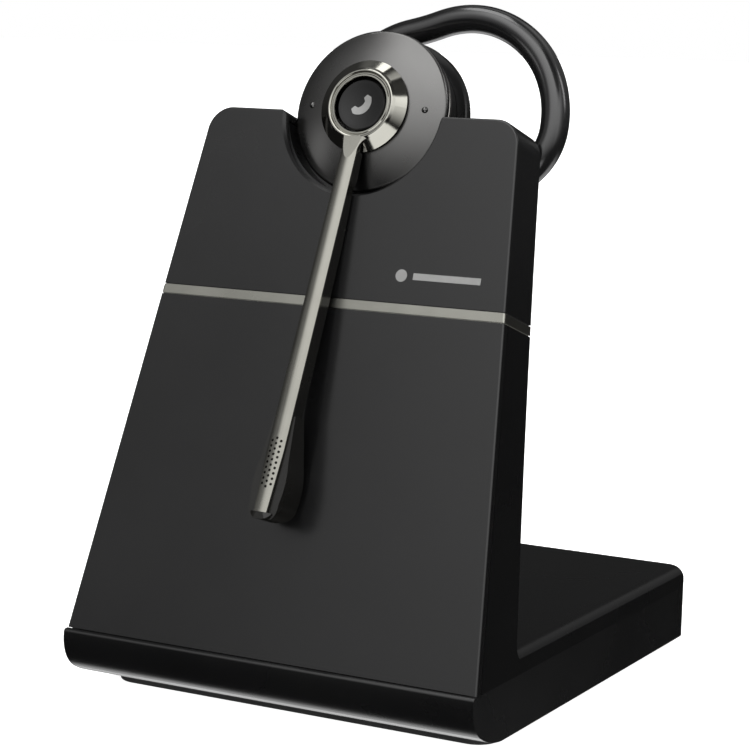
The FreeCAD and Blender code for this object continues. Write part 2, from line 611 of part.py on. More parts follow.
# ------------------------------------------------------------------- boom
SLOPE = 0.1
ARM = DISC.multiply(Placement(Vector(0, 0, 0), Rotation(Vector(0, 0, 1), -0.7)))


def arm_face(r):
    return 2.2 + SLOPE * (r - 7.4)


hub_ring = turn("hub", DISC, [
    (6.0, -0.85), (9.85, -0.85), (D["hubRad"], -0.55), (8.0, 0.95), (7.55, 1.35, (7.25, 1.46)), (6.95, 1.35), (6.8, 1.05), (6.6, 1.05),
    (6.42, 1.22), (6.1, 1.22), (6.0, 1.05)])
ring_slot = box(ARM, -1.3, 1.3, -12.0, -5.0, -0.95, 0.25)
hub_ring = cut(hub_ring, ring_slot)
node("boom_hub_ring", hub_ring)
carrier = turn("carrier", DISC, [
    (8.2, -0.9), (8.2, -4.0), (1.75, -4.0), (1.75, -3.2), (6.05, -3.2), (6.05, -0.9)])
node("boom_shaft", turn("shaft", DISC, [
    (1.75, -4.05), (D["shaftRad"], -4.05), (D["shaftRad"], -9.15), (2.1, -9.15), (2.1, -9.65), (D["shaftRad"], -9.65), (D["shaftRad"], -9.95), (1.75, -9.95)]))
clip = cut(cyl(DISC, 4.2, 0.4, 0, 0, -9.6), cyl(DISC, 2.12, 2.0, 0, 0, -10.5), box(DISC, 0.0, 6.0, -1.2, 1.2, -11.0, -8.0))
node("boom_retaining_clip", clip)
switch = fuse(box(DISC, -1.8, 1.8, -1.8, 1.8, -1.95, -1.25), box(DISC, -2.6, -1.7, -1.4, 1.4, -3.2, -1.3), box(DISC, 1.7, 2.6, -1.4, 1.4, -3.2, -1.3))
node("call_switch", switch)

HN, HWD = D["armNarrow"] / 2, D["armWide"] / 2
plan = pad("arm_plan", ARM, "XY_Plane", [[
    (-3.3, -6.5), (-3.3, -6.9, (-2.15, -8.4)), (-HN, -10.8), (-HWD, -62.0), (-HWD, -75.0), (-1.45, -D["armLen"]), (1.45, -D["armLen"]),
    (HWD, -75.0), (HWD, -62.0), (HN, -10.8, (2.15, -8.4)), (3.3, -6.9), (3.3, -6.5)]], 24.0, offset=-5.0)
R0, R1 = val(D["armRoot"]), val(D["armLen"])
cover_side = pad("cover_side", ARM, "YZ_Plane", [[
    (-R0, 1.6), (-12.0, arm_face(12.0)), (-R1, arm_face(R1)), (-R1, arm_face(R1) - 0.9), (-12.0, arm_face(12.0) - 0.9), (-R0, 0.5)]], 10.0, middle=True)
slope_frame = at(ARM, 0, -R0, arm_face(R0)).multiply(Placement(Vector(0, 0, 0), Rotation(Vector(1, 0, 0), -math.degrees(math.atan(SLOPE)))))
crown = cyl(slope_frame, D["armCrown"], 95.0, 0, 4.0, -D["armCrown"], axis="-y")
arm_cover = common(common(cover_side, plan), crown)
hub_core = turn("hub_core", DISC, [(0, -0.9), (D["hubRad"] - 0.1, -0.9), (D["hubRad"], -0.55), (8.0, 0.95), (7.55, 1.35, (7.25, 1.46)), (6.95, 1.35), (0, 1.35)])
PITCH = 1.12
perf = []
first = val(D["discPos"]) - 44.3
for k in range(10):
    perf.append(("circle", 0.0, -(first + PITCH * k), D["holeDia"] / 2))
for k in range(9):
    for side in (-1, 1):
        perf.append(("circle", 1.0 * side, -(first + PITCH * (k + 0.5)), D["holeDia"] / 2))
perf_pins = pad("perforations", ARM, "XY_Plane", perf, 8.0, offset=6.2)
node("boom_arm_cover", cut(arm_cover, hub_core, perf_pins))

CORE_END = 70.5
core_side = pad("core_side", ARM, "YZ_Plane", [[
    (-6.1, 0.2), (-8.4, 0.25), (-12.0, arm_face(12.0) - 0.95), (-CORE_END, arm_face(CORE_END) - 0.95), (-CORE_END, 3.9), (-60.0, 2.9), (-30.0, 0.55), (-18.2, 0.5), (-16.2, -0.5),
    (-10.3, -0.6), (-8.4, -0.85), (-6.1, -0.85)]], 10.0, middle=True)
core = common(core_side, plan)
root_fill = box(ARM, -4.0, -1.25, -10.2, -5.0, -3.0, 3.0)
root_fill2 = box(ARM, 1.25, 4.0, -10.2, -5.0, -3.0, 3.0)
core = cut(core, root_fill, root_fill2, hub_ring)


def tangent_path(place, corners, share=0.45):
    """A wire of straight runs and tangent arcs through the corners."""
    pts = [place.multVec(Vector(*[val(c) for c in p])) for p in corners]
    edges, here = [], pts[0]
    radii = []
    for i in range(1, len(pts) - 1):
        a, b = (pts[i - 1] - pts[i]), (pts[i + 1] - pts[i])
        la, lb = a.Length, b.Length
        a.normalize()
        b.normalize()
        inside = a.getAngle(b)
        reach = share * min(la, lb)
        radius = reach * math.tan(inside / 2.0)
        radii.append(radius)
        p, q = pts[i] + a * reach, pts[i] + b * reach
        bis = (a + b)
        bis.normalize()
        centre = pts[i] + bis * (radius / math.sin(inside / 2.0))
        mid = centre - bis * radius
        if (p - here).Length > 1e-6:
            edges.append(Part.LineSegment(here, p).toShape())
        edges.append(Part.Arc(p, mid, q).toShape())
        here = q
    edges.append(Part.LineSegment(here, pts[-1]).toShape())
    return Part.Wire(edges), radii


def tube(wire, radius):
    first = wire.Edges[0]
    start = first.valueAt(first.FirstParameter)
    tangent = first.tangentAt(first.FirstParameter)
    ring = Part.Wire([Part.Circle(start, tangent, radius).toShape()])
    return wire.makePipeShell([ring], True, False)


WIRE_R = 0.3
wire_path, wire_radii = tangent_path(ARM, [
    (0, 0, -9.8), (0, 0, -2.9), (0, -3.4, -2.55), (0, -6.3, -2.35), (0, -8.3, -0.35), (0, -11.5, 0.12), (0, -40.0, arm_face(40.0) - 1.5), (0, -71.2, arm_face(71.2) - 1.55)])
print("boom wire bends", [round(r, 2) for r in wire_radii], "length", round(wire_path.Length, 1))
wire = doc.addObject("Part::Feature", "BoomWire")
wire.Shape = tube(wire_path, WIRE_R)
channel = doc.addObject("Part::Feature", "WireChannel")
channel.Shape = tube(wire_path, WIRE_R)
core = cut(core, channel)
node("boom_hub_carrier", cut(carrier, channel))
node("boom_arm_core", core)
node("boom_wire", wire)

# microphone pod: closed shell at the back of the arm's end, wrapping the tip
TIP = R1 + 1.25


def pod(inset, stem):
    side = pad(stem + "_side", ARM, "YZ_Plane", [[
        (-(67.4 + inset), arm_face(67.4) - 0.95 - inset), (-(67.4 + inset), 3.65 + inset), (-72.0, 2.5 + inset), (-78.0, 1.35 + inset),
        (-84.4, 1.1 + inset, (-(87.6 - inset), 2.2 + inset * 0.6)), (-(TIP - inset), 5.2), (-(TIP - inset), arm_face(R1) - 0.95 - inset)]], 12.0, middle=True)
    shape = pad(stem + "_plan", ARM, "XY_Plane", [[
        (-(2.4 - inset), -(67.4 + inset)), (-(3.3 - inset), -77.0, (-(3.75 - inset), -81.5)), (-(3.3 - inset), -(85.8 - inset), (0, -(TIP + 0.9 - inset))), (3.3 - inset, -(85.8 - inset), (3.75 - inset, -81.5)),
        (3.3 - inset, -77.0), (2.4 - inset, -(67.4 + inset))]], 20.0, offset=-3.0)
    return common(side, shape)


pod_shell = cut(pod(0.0, "pod"), pod(0.8, "podin"))
open_top = box(ARM, -1.6, 1.6, -(CORE_END + 13.0), -(CORE_END - 1.0), 5.0, 12.0)
tip_cap = common(box(ARM, -2.4, 2.4, -TIP - 0.2, -R1 - 0.02, 4.0, arm_face(R1) - 0.05), cyl(ARM, 2.9, 20.0, 0, -(TIP - 2.6), 0))
pod_shell = fuse(cut(pod_shell, open_top), common(tip_cap, crown))
core_tool = pad("core_tool", ARM, "YZ_Plane", [[
    (-60.0, arm_face(60.0) - 0.95), (-CORE_END, arm_face(CORE_END) - 0.95), (-CORE_END, 3.9), (-60.0, 2.9)]], 10.0, middle=True)
core_tool = common(core_tool, plan)
pod_shell = cut(pod_shell, core_tool)
node("mic_pod", pod_shell)
mesh_side = pad("mesh_side", ARM, "YZ_Plane", [[
    (-71.2, arm_face(71.2) - 0.93), (-83.2, arm_face(83.2) - 0.93), (-83.2, arm_face(83.2) - 1.1), (-71.2, arm_face(71.2) - 1.1)]], 2.9, middle=True)
node("mic_mesh", mesh_side)
node("mic_capsules", group(cyl(ARM, 1.5, 1.6, 0, -75.0, 3.6), cyl(ARM, 1.5, 1.6, 0, -80.5, 3.9)))

# ------------------------------------------------------------ call button
button = turn("button", DISC, [
    (0, 0.42, (2.3, 0.5)), (4.6, 0.72), (5.25, 0.78), (D["buttonRad"], 0.55), (D["buttonRad"], -0.6), (4.9, -0.6), (4.9, -0.45), (0, -0.45)])
node("call_button_cap", button)
glyph = pad("glyph", at(DISC, 0, 0, 0, Rotation(Vector(0, 0, 1), 45)), "XY_Plane", [[
    (-2.3, 0.9), (-1.3, 0.9), (-1.0, 0.1, (0.0, -0.15)), (1.0, 0.1), (1.3, 0.9), (2.3, 0.9), (2.6, -0.1, (0.0, -1.9)), (-2.6, -0.1)]], 0.3, offset=0.44)
button_face = turn("button_face", DISC, [(0, 0.42, (2.3, 0.5)), (4.6, 0.72), (4.6, -0.5), (0, -0.5)])
lifted = turn("button_lift", at(DISC, 0, 0, 0.07), [(0, 0.42, (2.3, 0.5)), (4.6, 0.72), (4.6, -0.5), (0, -0.5)])
node("call_button_icon", cut(common(glyph, lifted), button_face))

# --------------------------------------------------------------- ear hook
HZ = val(D["hookDeep"])
SHX, SHY = -0.39, 0.24


def arc_chain(start, heading, arcs, z, skip):
    """Tangent arcs in the hook's plane. skip is the length left off the start."""
    edges = []
    x, y, a = start[0], start[1], math.radians(heading)
    for radius, turn_deg in arcs:
        t = math.radians(turn_deg)
        k = math.copysign(1.0 / radius, t)
        length = abs(t) * radius
        if skip > 0:
            x += (math.sin(a + k * skip) - math.sin(a)) / k
            y -= (math.cos(a + k * skip) - math.cos(a)) / k
            a += k * skip
            length -= skip
            skip = 0.0
        mid = (x + (math.sin(a + k * length / 2) - math.sin(a)) / k, y - (math.cos(a + k * length / 2) - math.cos(a)) / k)
        end = (x + (math.sin(a + k * length) - math.sin(a)) / k, y - (math.cos(a + k * length) - math.cos(a)) / k)
        edges.append(Part.Arc(DISC.multVec(Vector(x, y, z)), DISC.multVec(Vector(mid[0], mid[1], z)), DISC.multVec(Vector(end[0], end[1], z))).toShape())
        x, y, a = end[0], end[1], a + k * length
    return Part.Wire(edges), (x, y), a


HOOK = [(20.09, -45.88), (53.3, 7.54), (20.36, -36.68), (23.53, -74.0), (13.1, -78.0)]
SKIP = 7.4
path, hook_end, hook_dir = arc_chain((-12.2 + SHX, 11.5 + SHY), 59.70, HOOK, HZ, SKIP)
print("ear hook path", round(path.Length, 1), "end", hook_end)
core_wire = doc.addObject("Part::Feature", "HookWire")
core_wire.Shape = tube(path, val(D["wireRad"]))
bore = doc.addObject("Part::Feature", "HookBore")
bore.Shape = tube(path, val(D["wireRad"]) + 0.02)
skin = doc.addObject("Part::Feature", "HookSkin")
skin.Shape = tube(path, val(D["hookRad"]))
sleeve = cut(fuse(skin, ball(DISC, D["hookRad"], hook_end[0], hook_end[1], HZ)), bore)
node("earhook_sleeve", sleeve)
node("earhook_core_wire", core_wire)
ring = turn("clip_ring", DISC, [(D["grooveRad"] + D["runFit"], -12.15), (17.9, -12.15), (18.2, -12.45), (18.2, -14.3), (17.9, -14.6), (D["grooveRad"] + D["runFit"], -14.6)])
k0 = -1.0 / 20.09
a0 = math.radians(59.70)
x0 = -12.2 + SHX + (math.sin(a0 + k0 * SKIP) - math.sin(a0)) / k0
y0 = 11.5 + SHY - (math.cos(a0 + k0 * SKIP) - math.cos(a0)) / k0
heading = a0 + k0 * SKIP
knuckle = doc.addObject("Part::Cylinder", "Knuckle")
bind(knuckle, "Radius", D["hookRad"] + 0.35)
knuckle.Height = 6.5
back = Vector(x0 - 6.5 * math.cos(heading), y0 - 6.5 * math.sin(heading), HZ)
knuckle.Placement = DISC.multiply(Placement(back, Rotation(Vector(0, 0, 1), Vector(math.cos(heading), math.sin(heading), 0))))
ring = fuse(ring, knuckle)
ring = cut(ring, cyl(DISC, D["cushRad"] + 0.35, 12.0, 0, 0, -26.6), cyl(DISC, D["grooveRad"] + D["runFit"], 20.0, 0, 0, -26.6), skin)
node("earhook_clip_ring", ring)

# ------------------------------------------------------- checks and export
doc.recompute()
bad = []
for obj in doc.Objects:
    if "Invalid" in obj.State or "Error" in obj.State:
        bad.append("%s state %s" % (obj.Name, obj.State))
for label, obj in nodes:
    shape = obj.Shape
    if shape.isNull() or not shape.isValid() or not shape.Solids:
        bad.append("%s has no valid shape" % label)
if bad:
    raise RuntimeError("; ".join(bad))
os.makedirs("parts", exist_ok=True)
whole = None
for label, obj in nodes:
    shape = obj.Shape
    volume = sum(s.Volume for s in shape.Solids)
    b = shape.BoundBox
    print("%-22s solids %2d volume %9.1f  x %.1f..%.1f y %.1f..%.1f z %.1f..%.1f" % (label, len(shape.Solids), volume, b.XMin, b.XMax, b.YMin, b.YMax, b.ZMin, b.ZMax))
    shape.exportStep("parts/%s.step" % label)
    whole = b if whole is None else whole.united(b)
print("whole", whole)
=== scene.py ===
import json
import math

import bpy
import bmesh
from mathutils import Matrix, Vector


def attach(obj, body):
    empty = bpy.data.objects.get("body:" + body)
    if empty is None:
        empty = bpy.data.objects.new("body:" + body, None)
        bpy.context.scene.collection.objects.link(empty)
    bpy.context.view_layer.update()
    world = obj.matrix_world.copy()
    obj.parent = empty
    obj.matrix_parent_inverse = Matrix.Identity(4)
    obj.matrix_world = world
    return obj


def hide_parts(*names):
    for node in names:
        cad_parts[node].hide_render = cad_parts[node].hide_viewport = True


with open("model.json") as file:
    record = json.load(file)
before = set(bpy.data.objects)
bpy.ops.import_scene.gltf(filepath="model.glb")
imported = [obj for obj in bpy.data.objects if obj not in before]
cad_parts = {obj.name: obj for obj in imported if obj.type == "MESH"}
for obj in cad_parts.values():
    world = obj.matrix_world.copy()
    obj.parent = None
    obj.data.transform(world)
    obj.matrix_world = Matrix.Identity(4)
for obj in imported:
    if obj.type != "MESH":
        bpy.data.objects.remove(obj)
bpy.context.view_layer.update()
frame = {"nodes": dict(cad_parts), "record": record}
NODES = frame["nodes"]
scene = bpy.context.scene

# brightness of the surroundings, by direction
SOFT = {"edge_out": 42.0, "edge_in": 13.0, "edge_low": 0.2, "rise": 4.1, "streak": 1.6, "strip": 0.45, "base": 0.026, "below": 0.02, "patch": 2.4}

# ------------------------------------------------------------------ frames
LEAN = math.radians(18.26)
ST, CT = math.sin(LEAN), math.cos(LEAN)
FACE = Matrix.Translation((0, -0.0562, 0.01385)) @ Matrix.Rotation(math.pi / 2 - LEAN, 4, "X")
DISC = FACE @ Matrix.Translation((0, 0.1166, 0))


def mm(x, y, z):
    return Vector((x / 1000.0, y / 1000.0, z / 1000.0))


# ------------------------------------------------------------------ camera
cam_data = bpy.data.cameras.new("camera")
cam_data.sensor_width = 36.0
cam_data.lens = 114.77
cam_data.shift_x = 0.00949
cam_data.shift_y = 0.00201
cam_data.clip_start = 0.02
cam_data.clip_end = 20.0
cam = bpy.data.objects.new("camera", cam_data)
scene.collection.objects.link(cam)
fwd = Vector((-0.46784, 0.87132, -0.14805)).normalized()
roll = math.radians(1.47)
right0 = fwd.cross(Vector((0, 0, 1))).normalized()
up0 = right0.cross(fwd).normalized()
ROLL_SIGN = 1.0
right = (right0 * math.cos(roll) + up0 * math.sin(roll) * ROLL_SIGN).normalized()
up = right.cross(fwd).normalized()
rot = Matrix((right, up, -fwd)).transposed().to_4x4()
cam.matrix_world = Matrix.Translation((0.23907, -0.45963, 0.14253)) @ rot
scene.camera = cam


# --------------------------------------------------------------- materials
class Mat:
    """A small builder for procedural materials in object space, metres."""

    def __init__(self, name, color, rough, metal=0.0, spec=0.5, coat=0.0, coat_rough=0.1, sheen=0.0, ior=1.5):
        self.m = bpy.data.materials.new(name)
        self.m.use_nodes = True
        self.t = self.m.node_tree
        self.t.nodes.clear()
        self.out = self.t.nodes.new("ShaderNodeOutputMaterial")
        self.b = self.t.nodes.new("ShaderNodeBsdfPrincipled")
        self.t.links.new(self.b.outputs[0], self.out.inputs[0])
        self.color, self.rough = color, rough
        i = self.b.inputs
        i["Base Color"].default_value = (*color, 1.0)
        i["Roughness"].default_value = rough
        i["Metallic"].default_value = metal
        i["Specular IOR Level"].default_value = spec
        i["IOR"].default_value = ior
        i["Coat Weight"].default_value = coat
        i["Coat Roughness"].default_value = coat_rough
        i["Sheen Weight"].default_value = sheen
        self.coord = self.t.nodes.new("ShaderNodeTexCoord").outputs["Object"]
        self.height = None

    def node(self, kind, **props):
        n = self.t.nodes.new(kind)
        for k, v in props.items():
            setattr(n, k, v)
        return n

    def link(self, a, b):
        self.t.links.new(a, b)

    def mapped(self, matrix=None, scale=(1, 1, 1)):
        """Object coordinates seen from another frame, then scaled."""
        src = self.coord
        if matrix is not None:
            inv = matrix.inverted()
            loc, quat, _ = inv.decompose()
            n = self.node("ShaderNodeMapping", vector_type="POINT")
            n.inputs["Location"].default_value = loc
            n.inputs["Rotation"].default_value = quat.to_euler()
            self.link(src, n.inputs[0])
            src = n.outputs[0]
        n = self.node("ShaderNodeMapping", vector_type="POINT")
        n.inputs["Scale"].default_value = scale
        self.link(src, n.inputs[0])
        return n.outputs[0]

    def noise(self, scale, detail=3.0, rough=0.55, vec=None, distortion=0.0):
        n = self.node("ShaderNodeTexNoise")
        n.inputs["Scale"].default_value = scale
        n.inputs["Detail"].default_value = detail
        n.inputs["Roughness"].default_value = rough
        n.inputs["Distortion"].default_value = distortion
        self.link(vec if vec is not None else self.coord, n.inputs["Vector"])
        return n.outputs["Fac"]

    def ramp(self, src, lo, hi, a=0.35, b=0.65):
        n = self.node("ShaderNodeMapRange")
        n.inputs["From Min"].default_value = a
        n.inputs["From Max"].default_value = b
        n.inputs["To Min"].default_value = lo
        n.inputs["To Max"].default_value = hi
        self.link(src, n.inputs["Value"])
        return n.outputs["Result"]

    def mottle(self, scale=60.0, amount=0.15, src=None):
        """Slight colour variation about the base colour."""
        f = src if src is not None else self.noise(scale, 4.0)
        n = self.node("ShaderNodeMix", data_type="RGBA")
        lo = [max(0.0, c * (1 - amount)) for c in self.color]
        hi = [min(1.0, c * (1 + amount)) for c in self.color]
        n.inputs["A"].default_value = (*lo, 1)
        n.inputs["B"].default_value = (*hi, 1)
        self.link(self.ramp(f, 0, 1), n.inputs["Factor"])
        self.link(n.outputs["Result"], self.b.inputs["Base Color"])
        self.col_out = n.outputs["Result"]
        return self

    def vary(self, scale=25.0, amount=0.05, src=None):
        """Roughness variation, like faint handling marks."""
        f = src if src is not None else self.noise(scale, 5.0, 0.6)
        self.link(self.ramp(f, self.rough - amount, self.rough + amount), self.b.inputs["Roughness"])
        return self

    def bump(self, src, distance, strength=1.0):
        n = self.node("ShaderNodeBump")
        n.inputs["Strength"].default_value = strength
        n.inputs["Distance"].default_value = distance
        self.link(src, n.inputs["Height"])
        if self.height is not None:
            self.link(self.height, n.inputs["Normal"])
        self.height = n.outputs["Normal"]
        self.link(self.height, self.b.inputs["Normal"])
        return self

    def grain(self, scale=3500.0, distance=0.000012, strength=0.5):
        return self.bump(self.noise(scale, 2.0, 0.5), distance, strength)


def satin_plastic(name, color, rough, grain=4200.0, depth=0.00001, strength=0.35, coat=0.0, spec=0.5):
    return Mat(name, color, rough, coat=coat, coat_rough=0.12, spec=spec).mottle(45.0, 0.10).vary(18.0, 0.035).grain(grain, depth, strength).m


M = {}
M["case_dark"] = satin_plastic("case_dark", (0.0034, 0.0034, 0.0035), 0.25, 5200.0, 0.000006, 0.25, spec=0.44)
M["panel_gloss"] = satin_plastic("panel_gloss", (0.0034, 0.0034, 0.0035), 0.23, 5200.0, 0.000006, 0.22, spec=0.46)
M["case_black"] = satin_plastic("case_black", (0.0022, 0.0022, 0.0023), 0.27, 4200.0, 0.000008, 0.3, spec=0.42)
M["band"] = Mat("band", (0.27, 0.268, 0.24), 0.3, metal=1.0).mottle(90.0, 0.06).vary(40.0, 0.04).m
M["pad_rubber"] = Mat("pad_rubber", (0.012, 0.012, 0.012), 0.75).mottle(70.0, 0.2).grain(2200.0, 0.00003, 0.6).m
M["steel"] = Mat("steel", (0.56, 0.56, 0.57), 0.33, metal=1.0).mottle(200.0, 0.06).vary(60.0, 0.06).m
M["magnet"] = Mat("magnet", (0.62, 0.62, 0.64), 0.18, metal=1.0).mottle(300.0, 0.04).vary(120.0, 0.04).m
M["brass"] = Mat("brass", (0.83, 0.62, 0.27), 0.24, metal=1.0).mottle(400.0, 0.06).vary(200.0, 0.05).m
M["chip"] = Mat("chip", (0.012, 0.012, 0.013), 0.5).mottle(500.0, 0.15).grain(6000.0, 0.00001, 0.4).m
M["shield"] = Mat("shield", (0.6, 0.6, 0.6), 0.3, metal=1.0).mottle(120.0, 0.05).vary(80.0, 0.06).m
M["ribbon"] = Mat("ribbon", (0.62, 0.62, 0.6), 0.5).mottle(200.0, 0.06).grain(3000.0, 0.00001, 0.4).m
M["port_metal"] = Mat("port_metal", (0.6, 0.6, 0.61), 0.28, metal=1.0).mottle(250.0, 0.06).vary(150.0, 0.06).m
M["port_black"] = Mat("port_black", (0.012, 0.012, 0.012), 0.45).mottle(200.0, 0.15).grain(4000.0, 0.00001, 0.3).m
M["mark_grey"] = Mat("mark_grey", (0.25, 0.25, 0.245), 0.42, metal=0.6).mottle(400.0, 0.05).grain(8000.0, 0.000005, 0.3).m
M["cell_wrap"] = Mat("cell_wrap", (0.05, 0.05, 0.055), 0.35).mottle(200.0, 0.15).vary(100.0, 0.05).m
M["battery"] = Mat("battery", (0.6, 0.6, 0.61), 0.28, metal=1.0).mottle(150.0, 0.04).vary(90.0, 0.05).m
M["wire_red"] = Mat("wire_red", (0.25, 0.015, 0.015), 0.4).mottle(500.0, 0.1).grain(8000.0, 0.000004, 0.3).m
M["disc_satin"] = Mat("disc_satin", (0.106, 0.105, 0.103), 0.27, metal=1.0).mottle(60.0, 0.05).vary(30.0, 0.02).grain(9000.0, 0.000004, 0.25).m
M["ring_light"] = Mat("ring_light", (0.42, 0.41, 0.39), 0.25, metal=1.0).mottle(80.0, 0.05).vary(40.0, 0.03).m
M["champagne"] = Mat("champagne", (0.27, 0.266, 0.238), 0.085, metal=1.0).mottle(70.0, 0.05).vary(40.0, 0.02).m
ARM_METAL = Mat("arm_metal", (0.185, 0.182, 0.163), 0.25, metal=1.0)
ARM_METAL.mottle(120.0, 0.05).vary(60.0, 0.03).bump(ARM_METAL.noise(2600.0, 2.0, 0.5, vec=ARM_METAL.mapped(DISC, (1.0, 0.02, 1.0))), 0.000004, 0.3)
POD = Mat("pod_lacquer", (0.0042, 0.004, 0.0033), 0.24, spec=0.34).mottle(120.0, 0.12).vary(60.0, 0.04).grain(5200.0, 0.000006, 0.3)
M["mesh"] = Mat("mesh", (0.05, 0.05, 0.05), 0.4, metal=0.7).mottle(600.0, 0.2).grain(5000.0, 0.00002, 0.5).m
M["hook_rubber"] = Mat("hook_rubber", (0.0058, 0.0058, 0.006), 0.18, spec=0.62).mottle(50.0, 0.15).vary(30.0, 0.04).grain(6500.0, 0.000007, 0.3).m
M["cushion"] = Mat("cushion_cad", (0.01, 0.01, 0.01), 0.5).mottle(50.0, 0.15).grain(1800.0, 0.00004, 0.5).m


def board_material():
    m = Mat("board", (0.012, 0.10, 0.045), 0.3, coat=0.6, coat_rough=0.1)
    return m.mottle(300.0, 0.25).vary(120.0, 0.05).bump(m.noise(900.0, 1.0), 0.00001, 0.4).m


M["board"] = board_material()

SLOT = dict((s["node"], s["material_slot"]) for s in frame["record"]["subparts"])
OWN = {"call_button_cap": Mat("button", (0.0036, 0.0036, 0.0037), 0.3, spec=0.27).mottle(90.0, 0.1).vary(40.0, 0.03).grain(5200.0, 0.000006, 0.3).m,
       "boom_arm_cover": ARM_METAL.m, "mic_pod": POD.m, "boom_arm_core": POD.m}
for name, obj in NODES.items():
    material = OWN.get(name) or M.get(SLOT.get(name, "case_black"), M["case_black"])
    if not obj.material_slots:
        obj.data.materials.append(material)
    for s in obj.material_slots:
        s.material = material


# ------------------------------------------------------------- ear cushion
def lathe(name, frame_matrix, profile, steps, closed=True):
    """A ring swept about the frame's Z from (radius, z) points, in mm."""
    bm = bmesh.new()
    rings = []
    for k in range(steps):
        a = 2 * math.pi * k / steps
        rings.append([bm.verts.new(frame_matrix @ mm(r * math.cos(a), r * math.sin(a), z)) for r, z in profile])
    n = len(profile)
    for k in range(steps):
        p, q = rings[k], rings[(k + 1) % steps]
        for i in range(n if closed else n - 1):
            bm.faces.new((p[i], p[(i + 1) % n], q[(i + 1) % n], q[i]))
    bmesh.ops.recalc_face_normals(bm, faces=bm.faces)
    mesh = bpy.data.meshes.new(name)
    bm.to_mesh(mesh)
    bm.free()
    for f in mesh.polygons:
        f.use_smooth = True
    o = bpy.data.objects.new(name, mesh)
    scene.collection.objects.link(o)
    return o


def rounded_loop(points, radius, steps=5):
    """The closed (r, z) outline with its corners rounded."""
    out = []
    n = len(points)
    for i in range(n):
        p = Vector(points[i - 1]).to_2d()
        c = Vector(points[i]).to_2d()
        q = Vector(points[(i + 1) % n]).to_2d()
        a = c + (p - c).normalized() * min(radius, (p - c).length * 0.48)
        b = c + (q - c).normalized() * min(radius, (q - c).length * 0.48)
        for k in range(steps + 1):
            t = k / steps
            out.append(tuple(a * (1 - t) ** 2 + c * 2 * t * (1 - t) + b * t * t))
    return out


SCALE = 20.0


def make_cushion():
    outline = rounded_loop([(8.35, -16.0), (15.4, -16.0), (15.5, -19.2), (13.3, -20.4), (10.2, -20.4), (8.35, -19.2)], 0.9)
    o = lathe("ear_cushion_soft", Matrix.Scale(SCALE, 4), outline, 120)
    bpy.context.view_layer.objects.active = o
    rm = o.modifiers.new("remesh", "REMESH")
    rm.mode = "VOXEL"
    rm.voxel_size = 0.0005 * SCALE
    rm.use_smooth_shade = True
    deps = bpy.context.evaluated_depsgraph_get()
    mesh = bpy.data.meshes.new_from_object(o.evaluated_get(deps))
    o.modifiers.clear()
    o.data = mesh
    start = [v.co.copy() for v in mesh.vertices]
    pin = o.vertex_groups.new(name="pin")
    for v in mesh.vertices:
        r, z = math.hypot(v.co.x, v.co.y) / SCALE * 1000, v.co.z / SCALE * 1000
        w = 1.0 if (z > -16.35 or r < 8.75 and z > -18.6) else 0.0
        if w:
            pin.add([v.index], w, "REPLACE")
    cloth = o.modifiers.new("cloth", "CLOTH")
    c = cloth.settings
    c.quality = 6
    c.mass = 0.25
    c.tension_stiffness = 12
    c.compression_stiffness = 12
    c.shear_stiffness = 6
    c.bending_stiffness = 0.6
    c.use_pressure = True
    c.uniform_pressure_force = 4.0
    c.effector_weights.gravity = 0.0
    c.vertex_group_mass = "pin"
    cloth.collision_settings.use_collision = False
    cloth.point_cache.frame_start = 1
    cloth.point_cache.frame_end = 20
    for f in range(1, 21):
        scene.frame_set(f)
    deps = bpy.context.evaluated_depsgraph_get()
    done = bpy.data.meshes.new_from_object(o.evaluated_get(deps))
    o.modifiers.clear()
    cap = 0.0007 * SCALE
    for v, a in zip(done.vertices, start):
        d = v.co - a
        if d.length > cap:
            v.co = a + d.normalized() * cap
    o.data = done
    scene.frame_set(1)
    sub = o.modifiers.new("sub", "SUBSURF")
    sub.levels = sub.render_levels = 1
    deps = bpy.context.evaluated_depsgraph_get()
    mesh = bpy.data.meshes.new_from_object(o.evaluated_get(deps))
    o.modifiers.clear()
    o.data = mesh
    for v in mesh.vertices:
        x, y, z = (c / SCALE * 1000 for c in v.co)
        r, a = math.hypot(x, y), math.atan2(y, x)
        # seams: one round the outer wall, one at the inner lip, with puckers
        for sr, sz, deep, wide, count in ((15.9, -17.15, 0.42, 0.24, 44), (9.2, -20.7, 0.34, 0.22, 30)):
            d = math.hypot(r - sr, z - sz)
            pull = deep * math.exp(-(d / wide) ** 2)
            ripple = 0.10 * math.exp(-(d / 1.1) ** 2) * (math.sin(count * a) + 0.5 * math.sin(count * 2.37 * a + 1.3))
            inward = Vector((12.0 - r, -18.3 - z))
            if inward.length > 1e-6:
                inward.normalize()
            r += inward.x * (pull + ripple * 0.5)
            z += inward.y * (pull + ripple * 0.5)
        r = min(max(r, 7.75), 15.97)
        z = min(max(z, -21.05), -15.88)
        v.co = DISC @ mm(r * math.cos(a), r * math.sin(a), z)
    for f in mesh.polygons:
        f.use_smooth = True
    o.matrix_world = Matrix.Identity(4)
    return o


def leather():
    m = Mat("leatherette", (0.014, 0.014, 0.0145), 0.40, spec=0.45, sheen=0.08)
    m.mottle(160.0, 0.18).vary(90.0, 0.06)
    cells = m.node("ShaderNodeTexVoronoi", feature="DISTANCE_TO_EDGE")
    cells.inputs["Scale"].default_value = 1500.0
    m.link(m.coord, cells.inputs["Vector"])
    m.bump(m.ramp(cells.outputs["Distance"], 0.0, 1.0, 0.0, 0.18), 0.00004, 0.55)
    m.bump(m.noise(500.0, 3.0), 0.00005, 0.35)
    return m.m


cushion = make_cushion()
cushion.data.materials.clear()
cushion.data.materials.append(leather())
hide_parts("ear_cushion")
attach(cushion, "headset")

